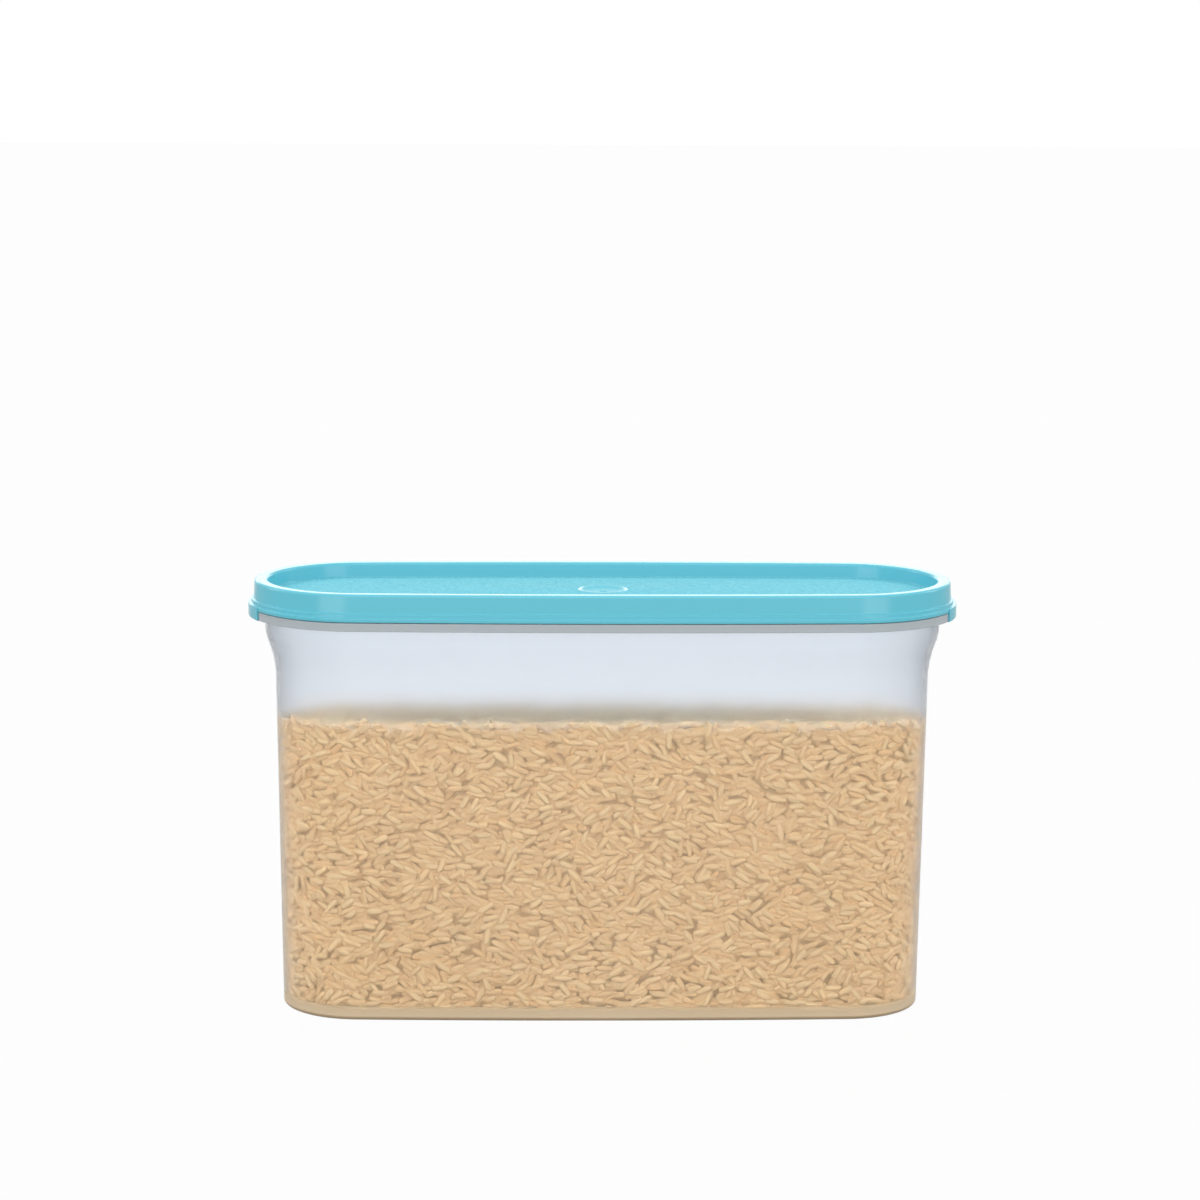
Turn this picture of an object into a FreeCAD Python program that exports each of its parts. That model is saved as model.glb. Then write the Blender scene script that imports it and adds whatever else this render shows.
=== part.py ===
import FreeCAD, Part
import math
import os

# Oval dry-food keeper: a tapered tub with a flared neck, a press-on lid and a bed of rice.
# Millimetres. +Z is up, +X runs along the oval, the origin is on the table under the middle.
# Every level of the tub and the lid is the same oval, stepped in or out by an "inset" that is
# measured inward from the outer face of the lid's lip, so the walls stay parallel all round.

# Plan of the lid's lip: two round ends joined by long sides that bow out slightly
length = 276.0
width = 90.0
side_bow = 1.9  # how far the middle of a long side stands out from the round ends' half width
height = 170.0  # table to the crown of the closed lid

# Fit between the two mouldings
fit_gap = 0.3  # clearance on each face that slides past another
lip_gap = 0.2  # between the lid's lip and the collar under it
edge_bevel = 0.4  # broken edges of both mouldings

# Lid
lid_wall = 1.5  # skirt, lip and plug
crown_wall = 1.6  # over the channel that takes the tub's rim
panel_wall = 1.6
skirt_inset = 1.75  # lip face to skirt face
skirt_lean = 0.3  # draft of the skirt between its foot and the crown
lid_depth = 10.5  # crown to the lower edge of the lip
lip_height = 1.6
step_height = 1.5  # the ledge that stiffens the lip, between lip and skirt
lip_bevel = 0.6
crown_bevel = 0.85
recess_bevel = 0.8
recess_depth = 6.0  # crown to the panel's border
recess_lean = 0.5
border_width = 17.0  # sloping border round the flat middle of the panel
panel_rise = 1.5  # flat middle above the border's outer edge
dish_diameter = 19.5  # smooth round dish at the moulding gate
dish_depth = 0.7
gate_diameter = 2.2
gate_height = 0.35
tab_width = 37.4  # finger tab on each short end
tab_proud = 0.4  # beyond the lip

# Tub
tub_wall = 1.8
rim_wall = 1.85  # upstand inside the lid's channel
collar_height = 3.35  # band that shows under the lid
collar_inset = 0.2
collar_wall = 1.5
flange_wall = 1.6
neck_inset = 6.1
neck_drop = 20.9  # crown to the bend where the neck starts to draw in
neck_round = 14.0
shoulder_inset = 10.0
shoulder_drop = 32.2  # crown to the bend where the draw-in ends
shoulder_round = 42.0
base_inset = 12.5
base_bevel = 0.8
foot_height = 1.8  # flat foot ring below the edge of the floor
foot_width = 3.2  # of the foot ring, inside the wall's own thickness
floor_wall = 2.2
floor_rise = 4.0  # raised middle of the floor, clear of the raised panel of a lid below
floor_run = 14.0  # sloping border round the raised middle

# Contents
rice_depth = 111.8  # edge of the floor to the middle of the bed's surface
rice_slope = 4.85  # degrees, the surface falls towards the back
rice_gap = 0.3  # grain bed to wall

# Plan geometry worked out from the driving dimensions
end_radius = width / 2 - side_bow
end_reach = length / 2 - end_radius
side_radius = (end_reach**2 + (width / 2) ** 2 - end_radius**2) / (2 * side_bow)
side_reach = side_radius - width / 2
side_half_angle = math.degrees(math.asin(end_reach / (side_radius - end_radius)))
foot_inset = base_inset + tub_wall + foot_width
core_inset = foot_inset + floor_run
up = FreeCAD.Vector(0, 0, 1)
corner_share = 0.45  # most of a side that one rounded corner may take
least_round = 0.9  # corners under this radius are broken with a flat bevel

# Levels and insets that both mouldings share
lip_bottom = height - lid_depth
lip_top = lip_bottom + lip_height
channel_top = height - crown_wall
collar_top = lip_bottom - lip_gap
collar_bottom = collar_top - collar_height
channel_outer = skirt_inset + lid_wall
rim_outer = channel_outer + fit_gap
rim_inner = rim_outer + rim_wall
plug_outer = rim_inner + fit_gap
recess_inset = plug_outer + lid_wall
border_top = height - recess_depth
panel_top = border_top + panel_rise
floor_top = foot_height + floor_wall
core_bottom = foot_height + floor_rise
core_top = floor_top + floor_rise
neck_level = height - neck_drop
shoulder_level = height - shoulder_drop


# Wall section from corners (inset, level, corner radius). Radii that don't fit are trimmed.
def wall_profile(corners):
    count = len(corners)
    points = [FreeCAD.Vector(-inset, 0, level) for inset, level, radius in corners]
    firsts = []
    lasts = []
    edges = []
    for i, (point, corner) in enumerate(zip(points, corners)):
        radius = corner[2]
        back = points[i - 1] - point
        ahead = points[(i + 1) % count] - point
        half_turn = (math.pi - back.getAngle(ahead)) / 2
        room = corner_share * min(back.Length, ahead.Length)
        trim = min(radius * math.tan(half_turn), room)
        back.normalize()
        ahead.normalize()
        firsts.append(point + back * trim)
        lasts.append(point + ahead * trim)
        if 0 < radius < least_round:
            edges.append(Part.LineSegment(firsts[i], lasts[i]).toShape())
        elif radius > 0:
            true_radius = trim / math.tan(half_turn)
            sag = true_radius / math.cos(half_turn) - true_radius
            middle = point + (back + ahead).normalize() * sag
            edges.append(Part.Arc(firsts[i], middle, lasts[i]).toShape())
    for i in range(count):
        edges.append(Part.LineSegment(lasts[i - 1], firsts[i]).toShape())
    return Part.Face(Part.Wire(Part.__sortEdges__(edges)))


# Turn a wall section about one of the plan's centres, from a start angle through a turn in degrees
def turned(section, centre, radius, start, turn):
    face = wall_profile(section)
    face.translate(centre + FreeCAD.Vector(radius, 0, 0))
    face.rotate(centre, up, start)
    return face.revolve(centre, up, turn)


# Carry a wall section round the whole oval: each end and each side turns about its own centre
def oval_ring(section):
    end_turn = 180 - 2 * side_half_angle
    side_turn = 2 * side_half_angle
    return [
        turned(section, FreeCAD.Vector(end_reach, 0, 0), end_radius, side_half_angle - 90, end_turn),
        turned(section, FreeCAD.Vector(0, -side_reach, 0), side_radius, 90 - side_half_angle, side_turn),
        turned(section, FreeCAD.Vector(-end_reach, 0, 0), end_radius, 90 + side_half_angle, end_turn),
        turned(section, FreeCAD.Vector(0, side_reach, 0), side_radius, 270 - side_half_angle, side_turn),
    ]


# The same section over the middle of both short ends only, as wide as a chord of the lip
def end_pair(section, chord):
    half = math.degrees(math.asin(chord / 2 / end_radius))
    right = turned(section, FreeCAD.Vector(end_reach, 0, 0), end_radius, -half, 2 * half)
    return [right, right.mirror(FreeCAD.Vector(0, 0, 0), FreeCAD.Vector(1, 0, 0))]


# Oval plate at one inset, between two levels
def oval_plate(inset, bottom, top):
    end = end_radius - inset
    side = side_radius - inset
    angle = math.radians(side_half_angle)
    corner_x = end_reach + end * math.sin(angle)
    corner_y = end * math.cos(angle)
    side_y = side - side_reach
    tip_x = end_reach + end

    def at(x, y):
        return FreeCAD.Vector(x, y, bottom)

    arcs = [
        Part.Arc(at(corner_x, -corner_y), at(tip_x, 0), at(corner_x, corner_y)),
        Part.Arc(at(corner_x, corner_y), at(0, side_y), at(-corner_x, corner_y)),
        Part.Arc(at(-corner_x, corner_y), at(-tip_x, 0), at(-corner_x, -corner_y)),
        Part.Arc(at(-corner_x, -corner_y), at(0, -side_y), at(corner_x, -corner_y)),
    ]
    outline = Part.Wire([arc.toShape() for arc in arcs])
    return Part.Face(outline).extrude(up * (top - bottom))


def joined(first, others):
    return first.multiFuse(others).removeSplitter().Solids[0]


# Step a run of corners inward by a wall thickness, keeping the wall even along its slopes.
# The bends are so wide that plain corners inside change the wall by under 0.3 mm.
def inner_run(corners, wall):
    moved = []
    last = len(corners) - 1
    for i in range(last + 1):
        lean_before = slope(corners[max(i - 1, 0)], corners[max(i, 1)])
        lean_after = slope(corners[min(i, last - 1)], corners[min(i + 1, last)])
        middle = (lean_before + lean_after) / 2
        reach = wall / math.cos((lean_after - lean_before) / 2)
        inset = corners[i][0] + reach * math.cos(middle)
        level = corners[i][1] + reach * math.sin(middle)
        moved.append((inset, level, 0))
    return moved


# Lean of the wall between two corners, from upright: positive where it draws in going down
def slope(lower, upper):
    return math.atan2(lower[0] - upper[0], upper[1] - lower[1])


# Outside of the tub's wall, from the table up to a level under the collar
def outer_run(top):
    return [
        (base_inset, 0, base_bevel),
        (shoulder_inset, shoulder_level, shoulder_round),
        (neck_inset, neck_level, neck_round),
        (neck_inset, top, 0),
    ]


# Corner where a wall meets the tub's floor
def floor_corner(lower, upper):
    share = (floor_top - lower[1]) / (upper[1] - lower[1])
    return (lower[0] + share * (upper[0] - lower[0]), floor_top, 0)


def make_tub():
    outer_wall = outer_run(collar_top - flange_wall)
    inner_wall = inner_run(outer_wall, tub_wall)
    collar_inner = collar_inset + collar_wall
    profile = [
        (core_inset, core_bottom, 0),
        (foot_inset, foot_height, 0),
        (foot_inset, 0, 0),
        *outer_wall,
        (collar_inner, collar_top - flange_wall, 0),
        (collar_inner, collar_bottom, 0),
        (collar_inset, collar_bottom, edge_bevel),
        (collar_inset, collar_top, edge_bevel),
        (rim_outer, collar_top, 0),
        (rim_outer, channel_top, edge_bevel),
        (rim_inner, channel_top, edge_bevel),
        (rim_inner, collar_top, 0),
        inner_wall[3],
        inner_wall[2],
        inner_wall[1],
        floor_corner(inner_wall[0], inner_wall[1]),
        (foot_inset, floor_top, 0),
        (core_inset, core_top, 0),
    ]
    ring = oval_ring(profile)
    tub = joined(ring[0], ring[1:] + [oval_plate(core_inset, core_bottom, core_top)])
    return tub.cut(make_notches())


# Gaps in the collar that clear the lid's tabs
def make_notches():
    inner = max(lid_wall + fit_gap, collar_inset + collar_wall)
    outer = -tab_proud - fit_gap
    bottom = collar_bottom - collar_height
    section = [(inner, bottom, 0), (outer, bottom, 0), (outer, lip_bottom, 0), (inner, lip_bottom, 0)]
    return end_pair(section, tab_width + 2 * fit_gap)


def make_lid():
    step_top = lip_top + step_height
    step_inset = skirt_inset / 2
    flat_inset = recess_inset + recess_lean + border_width
    profile = [
        (flat_inset, panel_top, 0),
        (recess_inset + recess_lean, border_top, recess_bevel),
        (recess_inset, height, crown_bevel),
        (skirt_inset + skirt_lean, height, crown_bevel),
        (skirt_inset, step_top, 0),
        (step_inset, step_top, edge_bevel),
        (step_inset, lip_top, 0),
        (0, lip_top, lip_bevel),
        (0, lip_bottom, edge_bevel),
        (channel_outer, lip_bottom, 0),
        (channel_outer, channel_top, 0),
        (plug_outer, channel_top, 0),
        (plug_outer, border_top - panel_wall, 0),
        (flat_inset, panel_top - panel_wall, 0),
    ]
    ring = oval_ring(profile)
    plate = oval_plate(flat_inset, panel_top - panel_wall, panel_top)
    lid = joined(ring[0], ring[1:] + [plate] + make_tabs())
    return joined(lid.cut(make_dish()), [make_gate()])


# Finger tabs that carry the lip down over the collar at the short ends
def make_tabs():
    section = [
        (lid_wall, collar_bottom, 0),
        (-tab_proud, collar_bottom, edge_bevel),
        (-tab_proud, lip_top, lip_bevel),
        (lid_wall, lip_top, 0),
    ]
    return end_pair(section, tab_width)


# Ball that hollows the dish out of the panel
def make_dish():
    ball_radius = ((dish_diameter / 2) ** 2 + dish_depth**2) / (2 * dish_depth)
    return Part.makeSphere(ball_radius, FreeCAD.Vector(0, 0, panel_top - dish_depth + ball_radius))


# Trimmed moulding gate that stands in the dish
def make_gate():
    foot = FreeCAD.Vector(0, 0, panel_top - panel_wall)
    return Part.makeCylinder(gate_diameter / 2, panel_wall - dish_depth + gate_height, foot)


# Settled bed of grains that follows the inside of the tub, its surface cut off on a slope
def make_rice():
    bed = inner_run(outer_run(collar_top), tub_wall + rice_gap)
    profile = [
        (core_inset, core_top, 0),
        (foot_inset, floor_top, 0),
        floor_corner(bed[0], bed[1]),
        *bed[1:],
        (core_inset, collar_top, 0),
    ]
    ring = oval_ring(profile)
    heap = joined(ring[0], ring[1:] + [oval_plate(core_inset, core_top, collar_top)])
    below = Part.makeBox(2 * length, 2 * width, 2 * height, FreeCAD.Vector(-length, -width, -2 * height))
    below.rotate(FreeCAD.Vector(0, 0, 0), FreeCAD.Vector(1, 0, 0), -rice_slope)
    below.translate(up * (floor_top + rice_depth))
    return heap.common(below)


nodes = {
    "container_body": make_tub,
    "lid": make_lid,
    "rice_fill": make_rice,
}
os.makedirs("parts", exist_ok=True)
for name, make in nodes.items():
    shape = make()
    shape.exportStep("parts/" + name + ".step")
    print(name, "valid", shape.isValid(), "solids", len(shape.Solids), "mm3", round(shape.Volume))
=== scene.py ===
import math
import random

import bmesh
import bpy
from mathutils import Matrix, Vector, noise


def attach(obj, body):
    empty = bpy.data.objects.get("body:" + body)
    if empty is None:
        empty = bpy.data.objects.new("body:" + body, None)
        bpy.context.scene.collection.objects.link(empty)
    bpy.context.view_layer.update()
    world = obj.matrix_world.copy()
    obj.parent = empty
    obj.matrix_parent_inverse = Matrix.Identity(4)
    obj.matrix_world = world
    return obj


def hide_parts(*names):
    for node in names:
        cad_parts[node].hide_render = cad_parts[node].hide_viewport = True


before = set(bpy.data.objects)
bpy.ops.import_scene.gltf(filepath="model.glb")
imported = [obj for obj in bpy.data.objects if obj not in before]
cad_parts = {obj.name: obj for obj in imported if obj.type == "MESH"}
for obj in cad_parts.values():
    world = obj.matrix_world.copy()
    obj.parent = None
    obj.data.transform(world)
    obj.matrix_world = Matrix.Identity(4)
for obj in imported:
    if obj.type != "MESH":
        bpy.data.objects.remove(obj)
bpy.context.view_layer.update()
mm = 0.001  # meshes are modelled in millimetres and brought to metres at the end

# the oval that every level of tub and lid is stepped in from: the outer face of the lid's lip
plan = {
    "length": 276.0,
    "width": 90.0,
    "sideBow": 1.9,
    "endSteps": 56,
    "sideSteps": 20,
    "cornerShare": 0.48,  # most of a side that one rounded corner may take
    "weld": 0.002,
    "sliver": 0.001,
    "slack": 0.01,  # points this near a level or an outline count as on it
}
endRadius = plan["width"] / 2 - plan["sideBow"]
endReach = plan["length"] / 2 - endRadius
sideRadius = (endReach**2 + (plan["width"] / 2) ** 2 - endRadius**2) / (2 * plan["sideBow"])
sideReach = sideRadius - plan["width"] / 2
sideHalf = math.asin(endReach / (sideRadius - endRadius))


# Shader wiring

class Wire:
    def __init__(self, tree, socket):
        self.tree = tree
        self.socket = socket

    def math(self, operation, first, second):
        node = self.tree.nodes.new("ShaderNodeMath")
        node.operation = operation
        plug(self.tree, node.inputs[0], first)
        plug(self.tree, node.inputs[1], second)
        return Wire(self.tree, node.outputs[0])

    def __add__(self, other):
        return self.math("ADD", self, other)

    def __sub__(self, other):
        return self.math("SUBTRACT", self, other)

    def __rsub__(self, other):
        return self.math("SUBTRACT", other, self)

    def __mul__(self, other):
        return self.math("MULTIPLY", self, other)

    __radd__ = __add__
    __rmul__ = __mul__


def plug(tree, socket, value):
    if isinstance(value, Wire):
        tree.links.new(value.socket, socket)
    else:
        socket.default_value = value


class Finish:
    def __init__(self, name, block=None):
        self.block = block or bpy.data.materials.new(name)
        self.block.use_nodes = True
        self.tree = self.block.node_tree
        self.tree.nodes.clear()

    def add(self, kind, settings=None, inputs=None, out=0):
        node = self.tree.nodes.new("ShaderNode" + kind)
        for name, value in (settings or {}).items():
            setattr(node, name, value)
        for name, value in (inputs or {}).items():
            plug(self.tree, node.inputs[name], value)
        return Wire(self.tree, node.outputs[out])

    def place(self):
        return self.add("TexCoord", out="Object")

    # X, Y and Z of a vector, or of the place on the object
    def axes(self, spot=None):
        split = self.add("SeparateXYZ", inputs={"Vector": spot or self.place()})
        return [Wire(self.tree, socket) for socket in split.socket.node.outputs]

    def grain(self, size, roughness=0.5):
        return self.add(
            "TexNoise",
            inputs={"Vector": self.place(), "Scale": 1 / size, "Detail": 2, "Roughness": roughness},
        )

    # smooth step from 0 below low to 1 above high
    def ramp(self, value, low, high):
        settings = {"interpolation_type": "SMOOTHSTEP"}
        return self.add("MapRange", settings, {"Value": value, "From Min": low, "From Max": high})

    # mix of two colours; a Mix node's colour sockets are its inputs 6 and 7 and its output 2
    def blend(self, factor, first, second):
        colours = [value if isinstance(value, Wire) else (*value, 1) for value in (first, second)]
        return self.add("Mix", {"data_type": "RGBA"}, {0: factor, 6: colours[0], 7: colours[1]}, out=2)

    def bump(self, height, distance):
        return self.add("Bump", inputs={"Height": height, "Distance": distance})

    def surface(self, shader, volume=None):
        kind = "World" if isinstance(self.block, bpy.types.World) else "Material"
        node = self.tree.nodes.new("ShaderNodeOutput" + kind)
        plug(self.tree, node.inputs["Surface"], shader)
        if volume:
            plug(self.tree, node.inputs["Volume"], volume)

    # three masks: rays that look at something, straight, mirrored or through plastic; those of them
    # that are mirrored or bent; and light that has come through plastic to a matt surface
    def seen(self):
        path = self.add("LightPath")
        rays = {socket.name: Wire(self.tree, socket) for socket in path.socket.node.outputs}
        lights = path.math("MINIMUM", rays["Diffuse Depth"], 1)
        bent = path.math("MAXIMUM", rays["Is Glossy Ray"], rays["Is Transmission Ray"]) * (1 - lights)
        looks = path.math("MAXIMUM", rays["Is Camera Ray"], bent)
        return looks, bent, lights * rays["Is Transmission Ray"]

    # how far to the side a direction or place lies, 0 straight behind or before and 1 at the sides
    def aside(self, spot):
        x, y = self.axes(spot)[:2]
        flat = self.add("CombineXYZ", inputs={"X": x, "Y": y})
        unit = self.add("VectorMath", {"operation": "NORMALIZE"}, {0: flat})
        across = self.axes(unit)[0]
        return self.ramp(across * across, studio["sideFrom"] ** 2, studio["sideTo"] ** 2)


print("shader helpers ready")

# Camera, at the photograph's angle: one long lens, a little above the lid, turned slightly

view = {
    "lens": 121.38,
    "sensor": 36.0,
    "distance": 1560.4,
    "height": 426.4,
    "aside": -1.15,
    "pitch": 9.645,
    "yaw": 1.537,
    "roll": 0.367,
    "farthest": 20.0,
}


def makeCamera():
    data = bpy.data.cameras.new("camera")
    data.lens = view["lens"]
    data.sensor_width = view["sensor"]
    data.clip_end = view["farthest"]
    camera = bpy.data.objects.new("camera", data)
    bpy.context.scene.collection.objects.link(camera)
    turn = Matrix.Rotation(math.radians(-view["yaw"]), 4, "Z")
    spot = turn @ Vector((view["aside"], -view["distance"], view["height"])) * mm
    tilt = Matrix.Rotation(math.radians(90 - view["pitch"]), 4, "X")
    roll = Matrix.Rotation(math.radians(view["roll"]), 4, "Z")
    camera.matrix_world = Matrix.Translation(spot) @ turn @ tilt @ roll
    bpy.context.scene.camera = camera


makeCamera()
print("camera placed")

# Floor, light and background

studio = {
    "lampAim": (0, 0, 0.1),
    "floorSize": 12.0,
    "floorColour": (0.45, 0.45, 0.45),
    "floorGlow": 0.96,  # share of the floor that is plain white to the camera, the rest takes the shadow
    "skyLow": 0.4,
    "skyHigh": 1.34,
    "skyRise": (-0.2, 0.9),  # the sky brightens between these heights of a ray's direction
    "sideFrom": 0.17,
    "sideTo": 0.62,
    "sideDark": 0.42,  # the sides, as mirrored or seen through plastic, are darker than the backdrop
    "throughWall": 4.5,  # makes up for what the tub's two walls take from the light on the rice
}


def makeStudio():
    world = bpy.data.worlds.new("studio")
    bpy.context.scene.world = world
    sky = Finish("studio", world)
    seen, bent, through = sky.seen()
    ray = sky.add("TexCoord", out="Generated")
    up = sky.axes(ray)[2]
    dome = sky.ramp(up, *studio["skyRise"]) * (studio["skyHigh"] - studio["skyLow"]) + studio["skyLow"]
    dark = bent * sky.aside(ray) * studio["sideDark"]
    strength = seen * (1 - dark) + (1 - seen) * dome * (through * (studio["throughWall"] - 1) + 1)
    sky.surface(sky.add("Background", inputs={"Color": (1, 1, 1, 1), "Strength": strength}))

    floor = Finish("floor")
    matt = floor.add("BsdfDiffuse", inputs={"Color": (*studio["floorColour"], 1)})
    seen, bent, through = floor.seen()
    dark = bent * floor.aside(floor.place()) * studio["sideDark"]
    white = floor.add("Emission", inputs={"Strength": 1 - dark})
    share = seen * studio["floorGlow"] + through
    floor.surface(floor.add("MixShader", inputs={0: share, 1: matt, 2: white}))

    bm = bmesh.new()
    bmesh.ops.create_grid(bm, x_segments=1, y_segments=1, size=studio["floorSize"] / 2)
    mesh = bpy.data.meshes.new("floor")
    bm.to_mesh(mesh)
    bm.free()
    mesh.materials.append(floor.block)
    ground = bpy.data.objects.new("floor", mesh)
    bpy.context.scene.collection.objects.link(ground)


lamps = [
    {"name": "keyPanel", "at": (0, -1.25, 1.25), "size": (1.5, 0.9), "watts": 3},
    {"name": "leftKey", "at": (-0.85, -1.4, 0.34), "size": (0.8, 0.6), "watts": 2.4},
    {"name": "rightKey", "at": (0.85, -1.4, 0.34), "size": (0.8, 0.6), "watts": 2.4},
    {"name": "leftPanel", "at": (-1.1, 0.35, 0.6), "size": (0.3, 0.6), "watts": 1.2},
    {"name": "rightPanel", "at": (1.1, 0.35, 0.6), "size": (0.3, 0.6), "watts": 1.2},
    {"name": "backPanel", "at": (0, 2.2, 0.63), "size": (2.4, 0.46), "watts": 4.5},
]


def makeLamps():
    aim = Vector(studio["lampAim"])
    for lamp in lamps:
        data = bpy.data.lights.new(lamp["name"], "AREA")
        data.shape = "RECTANGLE"
        data.size, data.size_y = lamp["size"]
        data.energy = lamp["watts"]
        light = bpy.data.objects.new(lamp["name"], data)
        bpy.context.scene.collection.objects.link(light)
        light.location = lamp["at"]
        light.visible_transmission = False
        light.rotation_euler = (aim - light.location).to_track_quat("-Z", "Y").to_euler()


makeStudio()
makeLamps()
bpy.context.scene.view_settings.view_transform = "Standard"
print("studio lit")


# Shapes that follow the oval

# wall section (inset, level, corner round) as a chain of edges, its rounds made by a vertex bevel
def drawSection(corners, segments):
    bm = bmesh.new()
    verts = [bm.verts.new((-inset, 0, level)) for inset, level, turn in corners]
    bm.faces.new(verts)
    seam = [verts[0].co.copy(), verts[-1].co.copy()]
    for vert, (inset, level, turn) in zip(verts, corners):
        if turn > 0:
            arms = [(edge.other_vert(vert).co - vert.co) for edge in vert.link_edges]
            half = (math.pi - arms[0].angle(arms[1])) / 2
            reach = min(turn * math.tan(half), plan["cornerShare"] * min(arm.length for arm in arms))
            bmesh.ops.bevel(
                bm, geom=[vert], offset=reach, offset_type="OFFSET", segments=segments,
                profile=0.5, affect="VERTICES", material=-1,
            )
    face = next(iter(bm.faces))
    rows = [loop.vert.co.copy() for loop in face.loops]
    bm.free()
    start = min(range(len(rows)), key=lambda i: (rows[i] - seam[0]).length)
    rows = rows[start:] + rows[:start]
    if (rows[1] - seam[1]).length < plan["sliver"]:
        rows = rows[:1] + rows[:0:-1]
    return [(-row.x, row.z) for row in rows]


# sweep section rows (inset, level) round the oval by spins about its four arc centres. Over the middle
# of each end, endShape(inset, level) gives the rows another form: a finger tab or a notch for it
def sweepOval(bm, rows, endChord=0, endShape=None):
    rowOf = bm.verts.layers.int.new("row")
    start = sideHalf - math.pi / 2
    verts = []
    for i, (inset, level) in enumerate(rows):
        reach = endRadius - inset
        spot = (endReach + reach * math.cos(start), reach * math.sin(start), level)
        verts.append(bm.verts.new(spot))
        verts[-1][rowOf] = i
    edges = [bm.edges.new(pair) for pair in zip(verts, verts[1:])]
    live = verts + edges
    endTurn = math.pi - 2 * sideHalf
    endMiddle = 2 * math.asin(endChord / 2 / endRadius) if endShape else 0

    def spin(geom, centre, turn, steps):
        result = bmesh.ops.spin(bm, geom=geom, cent=centre, axis=(0, 0, 1), angle=turn, steps=steps)
        return result["geom_last"]

    # double the last section in place and give its copy other rows
    def reshape(geom, centre, newRows):
        edges = [item for item in geom if isinstance(item, bmesh.types.BMEdge)]
        geom = bmesh.ops.extrude_edge_only(bm, edges=edges)["geom"]
        geom = [item for item in geom if not isinstance(item, bmesh.types.BMFace)]
        for vert in [item for item in geom if isinstance(item, bmesh.types.BMVert)]:
            inset, level = newRows[vert[rowOf]]
            out = Vector((vert.co.x - centre[0], vert.co.y - centre[1], 0)).normalized()
            vert.co = Vector(centre) + out * (endRadius - inset)
            vert.co.z = level
        return geom

    for side in (1, -1):
        centre = (side * endReach, 0, 0)
        if endShape:
            shaped = [endShape(inset, level) for inset, level in rows]
            lead = (endTurn - endMiddle) / 2
            share = round(plan["endSteps"] * lead / endTurn)
            live = spin(live, centre, lead, share)
            live = spin(reshape(live, centre, shaped), centre, endMiddle, plan["endSteps"] - 2 * share)
            live = spin(reshape(live, centre, rows), centre, lead, share)
        else:
            live = spin(live, centre, endTurn, plan["endSteps"])
        live = spin(live, (0, -side * sideReach, 0), 2 * sideHalf, plan["sideSteps"])
    bmesh.ops.remove_doubles(bm, verts=bm.verts, dist=plan["weld"])
    bmesh.ops.dissolve_degenerate(bm, edges=bm.edges, dist=plan["sliver"])


# boundary edges at one level
def rimEdges(bm, level):
    return [
        edge for edge in bm.edges
        if edge.is_boundary and all(abs(vert.co.z - level) < plan["slack"] for vert in edge.verts)
    ]


def closeOval(bm, level):
    bmesh.ops.edgeloop_fill(bm, edges=rimEdges(bm, level))


# bring a finished bmesh to metres as an object that rides on a body
def makePiece(bm, name, body, finish, nodes=(), recalc=True):
    if recalc:
        bmesh.ops.recalc_face_normals(bm, faces=bm.faces)
    for face in bm.faces:
        face.smooth = True
    mesh = bpy.data.meshes.new(name)
    bm.to_mesh(mesh)
    bm.free()
    mesh.transform(Matrix.Scale(mm, 4))
    mesh.materials.append(finish.block)
    piece = bpy.data.objects.new(name, mesh)
    bpy.context.scene.collection.objects.link(piece)
    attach(piece, body)
    if nodes:
        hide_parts(*nodes)
    return piece


# split normals at folds sharper than an angle
def keepCreases(piece, degrees):
    mesh = piece.data
    bm = bmesh.new()
    bm.from_mesh(mesh)
    for edge in bm.edges:
        if edge.is_manifold:
            edge.smooth = edge.calc_face_angle(0) < math.radians(degrees)
    bm.to_mesh(mesh)
    bm.free()


# Levels, insets and mesh settings shared by tub and lid

fit = {
    "crown": 170.0,
    "lipBottom": 159.5,
    "lipTop": 161.1,
    "rimTop": 168.4,
    "collarTop": 159.3,
    "collarBottom": 155.95,
    "channelOuter": 3.25,
    "rimOuter": 3.55,
    "rimInner": 5.4,
    "plugOuter": 5.7,
    "recess": 7.2,
    "roundSteps": 6,
    "crease": 35.0,  # degrees, folds sharper than this stay sharp
}

# Surface of the rice, which the rice-coloured film on the tub's wall follows

bed = {
    "top": 115.8,
    "fall": 5.6,  # sinks this much towards the back over the run
    "run": 66.0,
    "waves": 0.7,
    "waveSize": 17.0,
    "waveSeed": 3.3,
    "ripples": 0.5,  # height as a share of the waves'
    "rippleSize": 7.0,
    "rippleSeed": 8.1,
    # colour of the film on the wall over the rice
    "filmColour": (0.93, 0.69, 0.4),
}

# Tub

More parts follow.
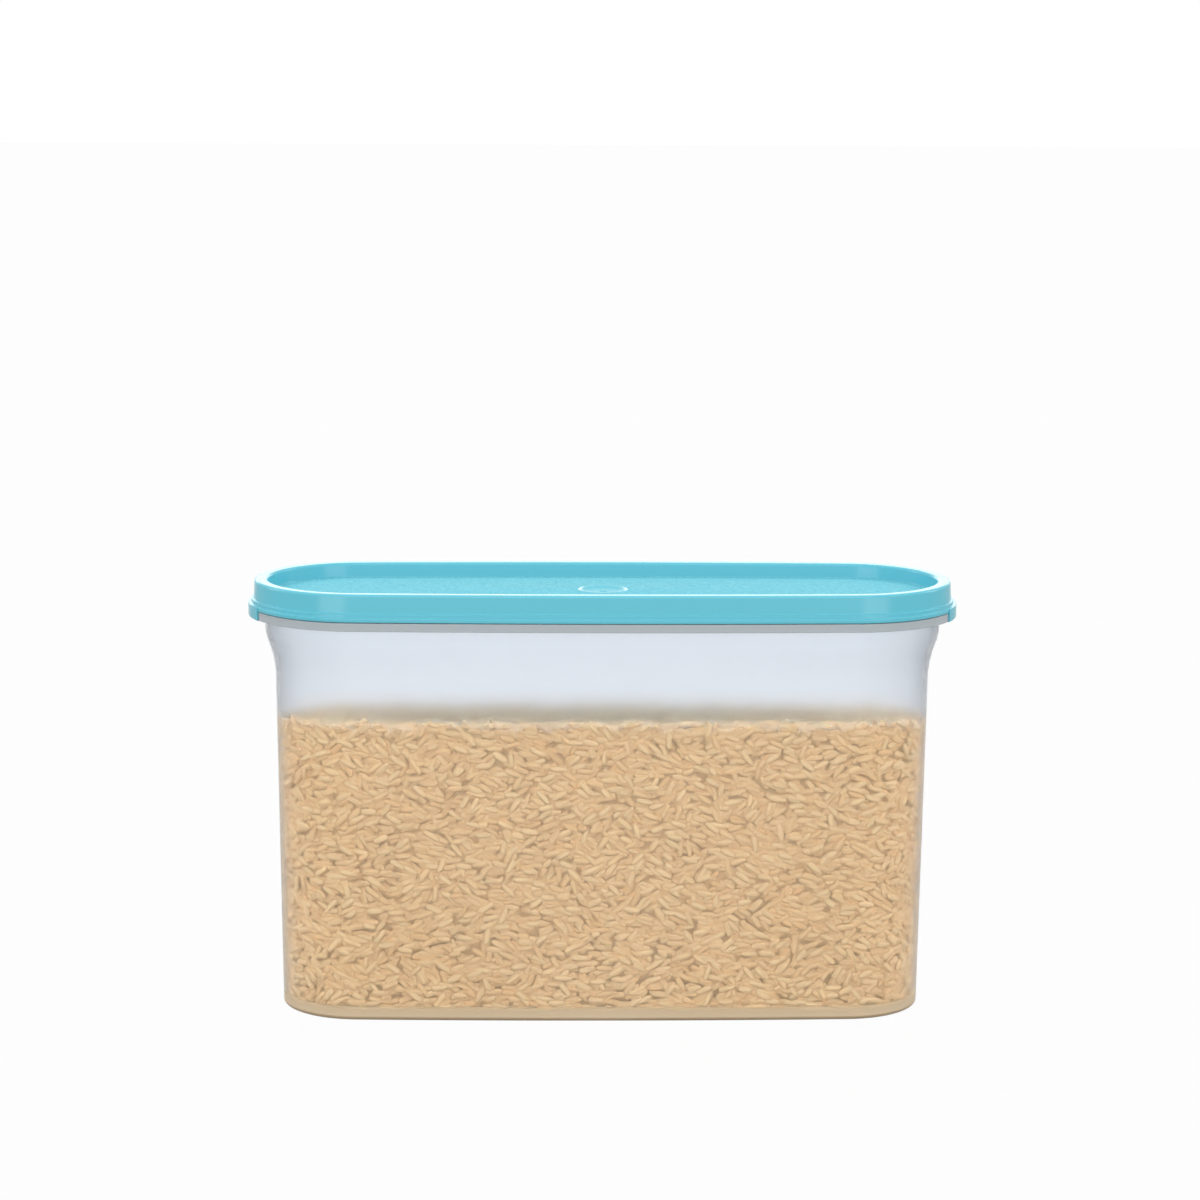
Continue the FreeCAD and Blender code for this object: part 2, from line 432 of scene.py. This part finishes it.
tub = {
    "wall": 1.2,
    "collarInset": 0.2,
    "collarInner": 1.7,
    "flangeBottom": 157.7,
    "neck": (6.1, 149.1, 14.0),
    "shoulder": (10.0, 137.8, 42.0),
    "baseInset": 12.5,
    "baseRound": 1.6,
    "footHeight": 1.8,
    "footInset": 17.5,
    "floorTop": 4.0,
    "coreInset": 31.5,
    "coreBottom": 5.8,
    "coreTop": 8.0,
    "floorRound": 0.4,
    "notchChord": 38.0,
    "innerLift": 0.3,  # the inner face bends this much higher than the outer
    "innerDrop": 0.4,  # and starts this much below the flange
    "tint": (0.92, 0.955, 1.0),
    "refraction": 1.36,
    "absorption": 18.0,
    "outerFrost": 0.09,
    "innerFrost": 0.19,
    "upperFrost": 0.19,  # added inside, above the rice
    "cloudFrost": 0.06,
    "haze": 0.012,
    "upperHaze": 0.04,
    "hazeColour": (0.85, 0.9, 0.95),
    "milkyRoughness": 0.4,
    "tinted": 0.8,  # cover of the collar band and the base strip, whose colours are painted shade and glow
    # painted shade: the collar band's grey is the clear tub as it looks in the shade under the lid
    "bandShadeColour": (0.484, 0.531, 0.56),
    # painted light and shade on the base strip: a rice-coloured glow, as the rice's light shows through
    # the thick base, over darker painted shade at the foot's rounded edge
    "baseGlowColour": (0.826, 0.645, 0.426),
    "baseShadeColour": (0.516, 0.374, 0.213),
    "bandStart": (-0.2, 0.1),  # fades are pairs of heights: here from the collar's lower edge
    "bandEnd": (0.1, 0.8),  # from the collar's upper edge
    "footShadeFade": (1.1, 1.9),
    "baseFade": (3.8, 6.4),
    "floorLightFade": (4.0, 7.0),
    "upperFade": (0.5, 3.5),  # this and the next two from the bed's top
    "filmFade": (-3.0, 2.0),
    "topShadeFade": (-9.0, 0.0),
    "film": 0.15,
    "outerFilm": 0.14,
    "floorLightFilm": 0.5,  # more film near the floor, painted light over the shade there, and just under the bed's surface, painted shade over the brightly lit top row; as shares
    "topShadeFilm": 0.7,
    "cloudSize": 20.0,
    "textureSize": 0.6,
    "textureHeight": 0.01,
    "raggedSize": 7.0,
    "raggedHeight": 12.0,
}


# inset of the tub's inner face below the shoulder
def wallInset(level):
    shoulder = tub["shoulder"]
    return tub["baseInset"] + (shoulder[0] - tub["baseInset"]) * level / shoulder[1] + tub["wall"]


# the collar stops short of the lid's tabs
def collarNotch(inset, level):
    if inset < tub["collarInner"] + plan["slack"] and level < fit["collarTop"] + plan["slack"]:
        return tub["collarInner"], max(level, tub["flangeBottom"])
    return inset, level


def frostedPlastic():
    finish = Finish("frosted_tub")
    y, z = finish.axes()[1:]
    inner = finish.add("Attribute", {"attribute_name": "inner"}, out="Fac")

    # smooth step between two heights over a level
    def rise(height, fade, level=0):
        return finish.ramp(height, (level + fade[0]) * mm, (level + fade[1]) * mm)

    # masks of painted colour: shade on the collar band, a glow of the rice's light on the base strip,
    # shade at its foot
    band = rise(z, tub["bandStart"], fit["collarBottom"]) * (1 - rise(z, tub["bandEnd"], fit["collarTop"]))
    base = 1 - rise(z, tub["baseFade"])
    foot = 1 - rise(z, tub["footShadeFade"])
    texture = finish.bump(finish.grain(tub["textureSize"] * mm), tub["textureHeight"] * mm)
    ragged = z + (finish.grain(tub["raggedSize"] * mm) - 0.5) * (tub["raggedHeight"] * mm)
    upper = inner * rise(ragged, tub["upperFade"], bed["top"])

    # clear plastic, frosted most inside above the rice
    frost = inner * (tub["innerFrost"] - tub["outerFrost"]) + upper * tub["upperFrost"]
    clouds = finish.grain(tub["cloudSize"] * mm) - 0.5
    clear = finish.add(
        "BsdfPrincipled",
        inputs={
            "Base Color": (*tub["tint"], 1),
            "Roughness": frost + clouds * tub["cloudFrost"] + tub["outerFrost"],
            "IOR": tub["refraction"],
            "Transmission Weight": 1.0,
            "Normal": texture,
        },
    )

    # milky cover: haze, painted shade on the collar band, painted glow and shade on the base strip, and a
    # rice-coloured film over the rice
    level = ragged + y * (bed["fall"] / bed["run"])  # height over the sloping bed of rice, uneven
    filled = 1 - rise(level, tub["filmFade"], bed["top"])
    veiled = finish.blend(filled, tub["hazeColour"], bed["filmColour"])
    low = finish.blend(base, veiled, finish.blend(foot, tub["baseGlowColour"], tub["baseShadeColour"]))
    milky = finish.add(
        "BsdfPrincipled",
        inputs={
            "Base Color": finish.blend(band, low, tub["bandShadeColour"]),
            "Roughness": tub["milkyRoughness"],
            "Normal": texture,
        },
    )
    # more film near the floor is painted light over the shade there; more just under the bed's surface is
    # painted shade over the brightly lit top row
    paintedVeil = tub["floorLightFilm"] * (1 - rise(z, tub["floorLightFade"])) + 1
    paintedVeil = paintedVeil + rise(level, tub["topShadeFade"], bed["top"]) * tub["topShadeFilm"]
    film = filled * (inner * (tub["film"] - tub["outerFilm"]) + tub["outerFilm"]) * paintedVeil
    cover = (band + base) * (tub["tinted"] - tub["haze"]) + film * (1 - base)
    cover = cover + upper * (1 - band) * tub["upperHaze"] + tub["haze"]
    shader = finish.add("MixShader", inputs={0: cover, 1: clear, 2: milky})
    depth = finish.add("VolumeAbsorption", inputs={"Color": (0, 0, 0, 1), "Density": tub["absorption"]})
    finish.surface(shader, depth)
    return finish


# 1 on the inside and underside of the tub, where the mould left the plastic rough
def markInner(bm, rows):
    rowOf = bm.verts.layers.int["row"]
    inner = bm.verts.layers.float.new("inner")
    levels = [level for inset, level in rows]
    rim = levels.index(max(levels))
    foot = levels.index(0)
    for vert in bm.verts:
        vert[inner] = 0 if foot < vert[rowOf] <= rim else 1


def makeTub():
    neck, shoulder, wall = tub["neck"], tub["shoulder"], tub["wall"]
    corners = [
        (tub["coreInset"], tub["coreBottom"], 0),
        (tub["footInset"], tub["footHeight"], 0.5),
        (tub["footInset"], 0, 0.4),
        (tub["baseInset"], 0, tub["baseRound"]),
        shoulder,
        neck,
        (neck[0], tub["flangeBottom"], 0.6),
        (tub["collarInner"], tub["flangeBottom"], 0),
        (tub["collarInner"], fit["collarBottom"], 0),
        (tub["collarInset"], fit["collarBottom"], 0.4),
        (tub["collarInset"], fit["collarTop"], 0.4),
        (fit["rimOuter"], fit["collarTop"], 0.3),
        (fit["rimOuter"], fit["rimTop"], 0.4),
        (fit["rimInner"], fit["rimTop"], 0.4),
        (fit["rimInner"], fit["collarTop"], 0.6),
        (neck[0] + wall, tub["flangeBottom"] - tub["innerDrop"], 0.6),
        (neck[0] + wall, neck[1] + tub["innerLift"], neck[2] - wall),
        (shoulder[0] + wall, shoulder[1] + tub["innerLift"], shoulder[2] + wall),
        (wallInset(tub["floorTop"]), tub["floorTop"], tub["floorRound"]),
        (tub["footInset"], tub["floorTop"], 0),
        (tub["coreInset"], tub["coreTop"], 0),
    ]
    bm = bmesh.new()
    rows = drawSection(corners, fit["roundSteps"])
    sweepOval(bm, rows, tub["notchChord"], collarNotch)
    markInner(bm, rows)
    closeOval(bm, tub["coreBottom"])
    closeOval(bm, tub["coreTop"])
    piece = makePiece(bm, "tub_wall", "container", frostedPlastic(), ["container_body"])
    keepCreases(piece, fit["crease"])


makeTub()
print("tub made")

# Lid

lid = {
    "wall": 1.5,
    "skirt": 1.75,
    "skirtLean": 0.3,
    "stepTop": 162.6,
    "stepInset": 0.875,
    "crownRound": 1.2,
    "recessRound": 1.2,
    "recessLean": 0.5,
    "borderTop": 164.0,
    "borderWidth": 17.0,
    "border": ((0.35, 0.16), (0.7, 0.55)),  # shares of its width and fall, from the panel out
    "panelTop": 165.5,
    "panelWall": 1.6,
    "panelMargin": 0.15,  # the mould's grain ends this far from the recess's wall
    "dishRadius": 8.4,
    "dishDepth": 0.7,
    "dish": ((0.9, 0.55), (0.78, 0.85), (0.62, 1.0), (0.4, 1.0), (0.2, 1.0)),  # shares of radius and depth
    "ringWidth": 1.6,
    "ringHeight": 0.3,
    "ring": ((1, 0), (0.7, 0.75), (0.35, 1), (0, 0.4)),  # shares of width and height
    "gate": ((1.43, 0.03), (1.1, 0.35), (0.01, 0.385)),  # radius and height over the dish
    "dishSteps": 72,
    "tabChord": 37.4,
    "tabProud": 0.4,
    "tabFold": 0.05,  # the tab's inner face goes up to the lip between two rows this far apart
    "lipReach": 0.7,  # rows of the lip's outer face lie within this inset
    "lipFoot": 0.45,  # and those of its lower edge within this height
    "colour": (0.117, 0.507, 0.618),
    # two speck colours for the mould's grain: the darker one the plastic's own, the lighter one painted
    # glints
    "panelDark": (0.104, 0.475, 0.58),
    "panelGlintColour": (0.163, 0.56, 0.663),
    "dishFade": (1.2, 1.6),  # distances beyond the dish's radius
    "ringFade": (-0.6, 0.0),
    "speckSize": 1.1,
    "speckHeight": 0.25,
    "speckRoughness": 0.6,
    "speckFade": (0.4, 0.6),
    "patchSize": 12.0,
    "roughness": 0.15,
    "panelRoughness": 0.3,  # added on the panel, but not on the dish's ring
    "grainRoughness": 0.3,  # added where the panel has the mould's grain
    "patchRoughness": 0.06,
}


# the lip stands out and reaches down over the collar at each end
def fingerTab(inset, level):
    if inset < lid["wall"] + plan["slack"] and level < fit["lipBottom"] + lid["lipFoot"]:
        level -= fit["lipBottom"] - fit["collarBottom"]
    if inset < lid["lipReach"] and level < fit["lipTop"] + plan["slack"]:
        inset -= lid["tabProud"]
    return inset, level


def aquaPlastic():
    finish = Finish("aqua_lid")
    x, y = finish.axes()[:2]
    flat = finish.add("CombineXYZ", inputs={"X": x, "Y": y})
    fromMiddle = finish.add("VectorMath", {"operation": "LENGTH"}, {0: flat}, out="Value")
    panel = finish.add("Attribute", {"attribute_name": "panel"}, out="Fac")

    # smooth step between two distances from the dish's edge
    def beyond(fade):
        low, high = [(lid["dishRadius"] + reach) * mm for reach in fade]
        return finish.ramp(fromMiddle, low, high)

    dish = 1 - beyond(lid["dishFade"])
    ring = dish * beyond(lid["ringFade"])
    textured = panel * (1 - dish)
    specks = finish.grain(lid["speckSize"] * mm, lid["speckRoughness"])
    patches = finish.grain(lid["patchSize"] * mm)
    # specks of the grain: the plastic's tone with painted glints in the lighter specks
    speckled = finish.blend(finish.ramp(specks, *lid["speckFade"]), lid["panelDark"], lid["panelGlintColour"])
    roughness = panel * (1 - ring) * lid["panelRoughness"] + textured * lid["grainRoughness"]
    shader = finish.add(
        "BsdfPrincipled",
        inputs={
            "Base Color": finish.blend(textured, lid["colour"], speckled),
            "Roughness": roughness + patches * lid["patchRoughness"] + lid["roughness"],
            "Normal": finish.bump(specks * textured, lid["speckHeight"] * mm),
        },
    )
    finish.surface(shader)
    return finish


def makeLid():
    flatInset = fit["recess"] + lid["recessLean"] + lid["borderWidth"]
    swell = lid["panelTop"] - lid["borderTop"]
    corners = [(flatInset, lid["panelTop"], 0)]
    for out, fall in lid["border"]:
        corners.append((flatInset - lid["borderWidth"] * out, lid["panelTop"] - swell * fall, 0))
    corners += [
        (fit["recess"] + lid["recessLean"], lid["borderTop"], 0.8),
        (fit["recess"], fit["crown"], lid["recessRound"]),
        (lid["skirt"] + lid["skirtLean"], fit["crown"], lid["crownRound"]),
        (lid["skirt"], lid["stepTop"], 0.5),
        (lid["stepInset"], lid["stepTop"], 0.4),
        (lid["stepInset"], fit["lipTop"], 0.3),
        (0, fit["lipTop"], 0.6),
        (0, fit["lipBottom"], 0.4),
        (lid["wall"], fit["lipBottom"], 0),
        (lid["wall"] + lid["tabFold"], fit["lipBottom"], 0),
        (fit["channelOuter"], fit["lipBottom"], 0.3),
        (fit["channelOuter"], fit["rimTop"], 0.3),
        (fit["plugOuter"], fit["rimTop"], 0.3),
        (fit["plugOuter"], lid["borderTop"] - lid["panelWall"], 0.6),
        (flatInset, lid["panelTop"] - lid["panelWall"], 0),
    ]
    bm = bmesh.new()
    rows = drawSection(corners, fit["roundSteps"])
    sweepOval(bm, rows, lid["tabChord"], fingerTab)
    markPanel(bm, rows)
    closeOval(bm, lid["panelTop"] - lid["panelWall"])
    oval = rimEdges(bm, lid["panelTop"])
    bmesh.ops.bridge_loops(bm, edges=oval + makeDish(bm))
    piece = makePiece(bm, "lid_shell", "lid", aquaPlastic(), ["lid"])
    keepCreases(piece, fit["crease"])


# 1 on the sunk panel and its border, which carry the mould's fine grain
def markPanel(bm, rows):
    rowOf = bm.verts.layers.int["row"]
    panel = bm.verts.layers.float.new("panel")
    wallFoot = fit["recess"] + lid["recessLean"] + lid["panelMargin"]
    last = next(i for i, (inset, level) in enumerate(rows) if inset < wallFoot)
    for vert in bm.verts:
        vert[panel] = 1 if vert[rowOf] < last else 0


# shallow round dish with the trimmed gate in its middle; returns its outer edges
def makeDish(bm):
    radius, top = lid["dishRadius"], lid["panelTop"]
    spots = [(radius + lid["ringWidth"] * out, top + lid["ringHeight"] * up) for out, up in lid["ring"]]
    spots += [(radius * share, top - lid["dishDepth"] * fall) for share, fall in lid["dish"]]
    spots += [(reach, top - lid["dishDepth"] + height) for reach, height in lid["gate"]]
    verts = [bm.verts.new((reach, 0, level)) for reach, level in spots]
    for vert in verts:
        vert[bm.verts.layers.float["panel"]] = 1
    edges = [bm.edges.new(pair) for pair in zip(verts, verts[1:])]
    bmesh.ops.spin(
        bm, geom=verts + edges, cent=(0, 0, 0), axis=(0, 0, 1), angle=2 * math.pi,
        steps=lid["dishSteps"], use_merge=True,
    )
    outer = radius + lid["ringWidth"]
    return [
        edge for edge in bm.edges
        if edge.is_boundary and all(abs(vert.co.xy.length - outer) < plan["slack"] for vert in edge.verts)
    ]


makeLid()
print("lid made")

# Rice, grain by grain

rice = {
    "length": 6.5,
    "width": 2.45,
    "thickness": 1.7,
    "sides": 6,
    "rings": 5,
    "endPower": 0.82,  # powers and factors that make a ball's rings and girth those of a grain
    "girthPower": -0.42,
    "girth": 1.04,
    "taper": 0.06,
    "lengthSpread": 0.07,
    "girthSpread": 0.05,
    "brokenShare": 0.06,
    "brokenLength": (0.5, 0.8),
    "gap": 0.05,
    "nesting": 0.9,
    "squash": 0.42,
    "layers": 1.6,  # how deep the grains are piled against wall and surface
    "cell": 8.0,  # of the grid that finds a grain's neighbours
    "wallTries": 110000,
    "flatTries": 30000,
    "backing": 9000,  # loose grains thrown in behind the wall's own
    "backingDepth": (0.8, 1.2),  # in layers
    "sway": 38.0,
    "swaySize": (16.0, 11.0),
    "spread": 26.0,
    "settle": 5.0,  # grains lie flatter within this height of the floor
    "tilt": 9.0,
    "tiltMost": 16.0,
    "tiltReach": 0.43,  # share of its length by which a tilted grain comes nearer the wall
    "tiltSpare": 0.1,
    "topReach": 0.4,  # share of a steep grain's rise that has to stay under the bed's surface
    "surfaceTilt": 8.0,
    "surfaceTiltMost": 20.0,
    "floorPile": 0.5,
    "floorGap": 0.2,
    "coreDepth": 3.7,
    "coreLift": 0.8,
    "perPiece": 3200,
    "pale": (0.772, 0.55, 0.296),
    "deep": (0.712, 0.43, 0.2),
    "toneAndShade": 0.72,
    "toneSpread": 0.18,
    "depthShade": 0.32,  # painted shade: tone falls by this much per layer of depth in the pile
    "flatDepth": 0.3,  # depth in layers that sets the painted shade in the flat grains' tone
    "chalkSize": 1.6,
    "chalkHeight": 0.05,
    "chalkTone": 0.3,
    "chalkRoughness": 0.2,
    "roughness": 0.5,
    "shine": 0.25,
}
dice = random.Random(41)

# lengths of the end and side arcs at the rice's mean inset
meanInset = wallInset(bed["top"] / 2)
endRun = (endRadius - meanInset) * (math.pi - 2 * sideHalf)
sideRun = (sideRadius - meanInset) * 2 * sideHalf
lengthRound = 2 * (endRun + sideRun)


# place and outward direction for a distance round the oval, counted from the back's middle
def ovalSpot(run, inset):
    run = (run + endRun + sideRun / 2) % lengthRound
    for turned in (0, math.pi):
        if run < endRun:
            angle = sideHalf - math.pi / 2 + run / (endRadius - meanInset) + turned
            centre, radius = Vector((math.cos(turned) * endReach, 0, 0)), endRadius
            break
        run -= endRun
        if run < sideRun:
            angle = math.pi / 2 - sideHalf + run / (sideRadius - meanInset) + turned
            centre, radius = Vector((0, -math.cos(turned) * sideReach, 0)), sideRadius
            break
        run -= sideRun
    out = Vector((math.cos(angle), math.sin(angle), 0))
    return centre + out * (radius - inset), out


# how far a point lies inside the oval
def ovalInset(x, y):
    x, y = abs(x), abs(y)
    if math.atan2(x, y + sideReach) < sideHalf:
        return sideRadius - math.hypot(x, y + sideReach)
    return endRadius - math.hypot(x - endReach, y)


# level of the bed's surface, which slopes and is uneven
def riceTop(x, y):
    wave = noise.noise(Vector((x / bed["waveSize"], y / bed["waveSize"], bed["waveSeed"])))
    ripple = noise.noise(Vector((x / bed["rippleSize"], y / bed["rippleSize"], bed["rippleSeed"])))
    return bed["top"] - bed["fall"] * y / bed["run"] + bed["waves"] * (wave + bed["ripples"] * ripple)


# shortest distance between two grains' mid lines on the flat map
def grainsApart(first, second):
    best = math.inf
    for (ax, ay, bx, by), (cx, cy, dx, dy) in ((first, second), (second, first)):
        ex, ey = bx - ax, by - ay
        long = ex * ex + ey * ey
        for px, py in ((cx, cy), (dx, dy)):
            along = min(1, max(0, ((px - ax) * ex + (py - ay) * ey) / long))
            best = min(best, (px - ax - along * ex) ** 2 + (py - ay - along * ey) ** 2)
    ax, ay, bx, by = first
    cx, cy, dx, dy = second
    side1 = (bx - ax) * (cy - ay) - (by - ay) * (cx - ax)
    side2 = (bx - ax) * (dy - ay) - (by - ay) * (dx - ax)
    side3 = (dx - cx) * (ay - cy) - (dy - cy) * (ax - cx)
    side4 = (dx - cx) * (by - cy) - (dy - cy) * (bx - cx)
    if side1 * side2 < 0 and side3 * side4 < 0:
        return 0
    return math.sqrt(best)


# a whole grain's length or, now and then, a broken one's
def grainLength():
    if dice.random() > rice["brokenShare"]:
        return rice["length"] * dice.gauss(1, rice["lengthSpread"])
    return rice["length"] * dice.uniform(*rice["brokenLength"])


# throw grains on a flat map; each lies on those already under it, as far as the pile may rise
def scatter(left, right, low, high, tries, pile, turnAt, room):
    cells = {}
    kept = []
    size = rice["cell"]
    flat = rice["thickness"] / rice["width"] * rice["nesting"]
    pile /= rice["squash"]
    for _ in range(tries):
        u, v = dice.uniform(left, right), dice.uniform(low, high)
        turn = turnAt(u, v)
        long = grainLength()
        half = (long - rice["width"]) / 2
        du, dv = math.cos(turn) * half, math.sin(turn) * half
        line = (u - du, v - dv, u + du, v + dv)
        cell = (int(u // size), int(v // size))
        rise = 0
        for i in (-1, 0, 1):
            for j in (-1, 0, 1):
                for other in cells.get((cell[0] + i, cell[1] + j), ()):
                    if rise <= pile and (other[4] - u) ** 2 + (other[5] - v) ** 2 < size * size:
                        apart = grainsApart(line, other[:4])
                        if apart < rice["width"]:
                            rest = math.sqrt(rice["width"] ** 2 - apart**2) * flat
                            rise = max(rise, other[6] + rest)
        if rise > pile or not room(u, v, turn, long):
            continue
        cells.setdefault(cell, []).append((*line, u, v, rise))
        kept.append((u, v, turn, long, rise * rice["squash"]))
    return kept


# one grain: few faces, blunt at one end, slightly flat
def grainMesh():
    bm = bmesh.new()
    bmesh.ops.create_uvsphere(bm, u_segments=rice["sides"], v_segments=rice["rings"], radius=0.5)
    for vert in bm.verts:
        along = vert.co.z * 2
        girth = max(vert.co.xy.length * 2, plan["slack"])
        vert.co.z = math.copysign(abs(along) ** rice["endPower"], along) / 2
        vert.co.xy *= girth ** rice["girthPower"] * (rice["girth"] - rice["taper"] * along)
    for face in bm.faces:
        face.smooth = True
    bmesh.ops.rotate(bm, verts=bm.verts, cent=(0, 0, 0), matrix=Matrix.Rotation(math.pi / 2, 3, "Y"))
    mesh = bpy.data.meshes.new("grain")
    bm.to_mesh(mesh)
    bm.free()
    mesh.attributes.new("toneAndShade", "FLOAT", "POINT")
    return mesh


# matrix that lays a grain along a direction, its flat side facing a normal
def grainMatrix(spot, along, facing, long):
    across = facing.cross(along).normalized()
    facing = along.cross(across).normalized()
    wide = rice["width"] * dice.gauss(1, rice["girthSpread"])
    thick = rice["thickness"] * dice.gauss(1, rice["girthSpread"])
    turn = Matrix((along * long, across * wide, facing * thick)).transposed().to_4x4()
    return Matrix.Translation(spot) @ turn


# a chance slope in radians, no steeper than most
def chanceTilt(degrees, most):
    return math.radians(max(-most, min(most, dice.gauss(0, degrees))))


# grains against the wall, as matrices with their depth in layers
def wallGrains():
    # neighbours lie in much the same direction, and flat near the floor
    def turnAt(u, v):
        drift = noise.noise(Vector((u / rice["swaySize"][0], v / rice["swaySize"][1], 0)))
        settle = min(1, (v - tub["floorTop"]) / rice["settle"])
        return math.radians(rice["sway"] * 2 * drift + dice.gauss(0, rice["spread"])) * settle

    def room(u, v, turn, long):
        spot, out = ovalSpot(u, wallInset(v))
        rise = abs(math.sin(turn)) * long / 2 + rice["width"] / 3
        return tub["floorTop"] + rise < v < riceTop(spot.x, spot.y) - rise * rice["topReach"]

    low, high = tub["floorTop"], bed["top"] + bed["fall"]
    found = scatter(0, lengthRound, low, high, rice["wallTries"], rice["layers"], turnAt, room)
    for _ in range(rice["backing"]):
        u, v = dice.uniform(0, lengthRound), dice.uniform(low, high)
        turn = turnAt(u, v)
        long = rice["length"] * dice.gauss(1, rice["lengthSpread"])
        if room(u, v, turn, long):
            found.append((u, v, turn, long, rice["layers"] * dice.uniform(*rice["backingDepth"])))
    for u, v, turn, long, depth in found:
        lean = chanceTilt(rice["tilt"], rice["tiltMost"])
        nearer = abs(math.sin(lean)) * long * rice["tiltReach"]
        poke = max(0, nearer - rice["thickness"] * rice["tiltSpare"])
        inset = wallInset(v) + rice["gap"] + rice["thickness"] / 2 + max(depth, poke)
        spot, out = ovalSpot(u, inset)
        spot.z = v
        run = Vector((-out.y, out.x, 0))
        along = run * math.cos(turn) + Vector((0, 0, math.sin(turn)))
        along = (along * math.cos(lean) - out * math.sin(lean)).normalized()
        yield grainMatrix(spot, along, out, long), depth / rice["layers"]


# flat layers at the bed's surface, or on the tub's floor
def flatGrains(underside=False):
    def level(x, y):
        if underside:
            slope = (ovalInset(x, y) - tub["footInset"]) / (tub["coreInset"] - tub["footInset"])
            rise = (tub["coreTop"] - tub["floorTop"]) * min(1, max(0, slope))
            return tub["floorTop"] + rise + rice["floorGap"] + rice["thickness"] / 2
        return riceTop(x, y) - rice["thickness"] / 2 - rice["layers"]

    def turnAt(u, v):
        return dice.uniform(0, math.pi)

    def room(u, v, turn, long):
        du, dv = math.cos(turn) * long / 2, math.sin(turn) * long / 2
        least = wallInset(level(u, v)) + rice["gap"] + rice["thickness"] / 3
        return min(ovalInset(u - du, v - dv), ovalInset(u + du, v + dv)) > least

    halfX, halfY = plan["length"] / 2, plan["width"] / 2
    pile = rice["floorPile"] if underside else rice["layers"]
    found = scatter(-halfX, halfX, -halfY, halfY, rice["flatTries"], pile, turnAt, room)
    for u, v, turn, long, rise in found:
        lean = 0 if underside else chanceTilt(rice["surfaceTilt"], rice["surfaceTiltMost"])
        along = Vector((math.cos(turn) * math.cos(lean), math.sin(turn) * math.cos(lean), math.sin(lean)))
        spot = Vector((u, v, level(u, v) + rise))
        yield grainMatrix(spot, along, Vector((0, 0, 1)), long), rice["flatDepth"]


def riceCoat():
    finish = Finish("rice")
    # tone per grain, random and with painted shade by depth in the pile
    toneAndShade = finish.add("Attribute", {"attribute_name": "toneAndShade"}, out="Fac")
    chalk = finish.grain(rice["chalkSize"] * mm)
    pale = finish.ramp(toneAndShade + (chalk - 0.5) * rice["chalkTone"], 0, 1)
    shader = finish.add(
        "BsdfPrincipled",
        inputs={
            "Base Color": finish.blend(pale, rice["deep"], rice["pale"]),
            "Roughness": chalk * rice["chalkRoughness"] + rice["roughness"],
            "Specular IOR Level": rice["shine"],
            "Normal": finish.bump(chalk, rice["chalkHeight"] * mm),
        },
    )
    finish.surface(shader)
    return finish


# core behind the grains. The sweep's first and last sections lie further apart than the weld,
# so the core's seam, top and bottom stay open, hidden under the grains
def makeCore(coat):
    depth = rice["coreDepth"]
    low = tub["floorTop"] + rice["coreLift"]
    middle = tub["coreTop"] + rice["coreLift"]
    high = bed["top"] - depth
    rows = [
        (tub["coreInset"], middle),
        (tub["footInset"], low),
        (wallInset(low) + depth, low),
        (wallInset(high) + depth, high),
        (tub["coreInset"], high),
    ]
    bm = bmesh.new()
    sweepOval(bm, rows)
    closeOval(bm, middle)
    closeOval(bm, high)
    for vert in bm.verts:
        if vert.co.z > high - plan["slack"]:
            vert.co.z = riceTop(vert.co.x, vert.co.y) - depth
    # the core carries no per-grain tone, so it takes the deep colour all over: painted shade, as on the
    # deepest grains
    makePiece(bm, "rice_core", "container", coat, ["rice_fill"])


def makeRice():
    coat = riceCoat()
    makeCore(coat)
    grain = grainMesh()
    count = len(grain.vertices)
    places = [*wallGrains()]
    print("grains at the wall", len(places))
    places += [*flatGrains(), *flatGrains(True)]
    print("grains in all", len(places))
    for first in range(0, len(places), rice["perPiece"]):
        bm = bmesh.new()
        for place, depth in places[first:first + rice["perPiece"]]:
            # each grain's tone: random, darkened by a painted shade for its depth in the pile
            toneAndShade = min(1, max(0, dice.gauss(rice["toneAndShade"], rice["toneSpread"]) - rice["depthShade"] * depth))
            grain.attributes["toneAndShade"].data.foreach_set("value", [toneAndShade] * count)
            grain.transform(place)
            bm.from_mesh(grain)
            grain.transform(place.inverted())
        name = "rice_grains_" + str(first // rice["perPiece"] + 1)
        makePiece(bm, name, "container", coat, recalc=False)
    bpy.data.meshes.remove(grain)


makeRice()
print("rice poured")
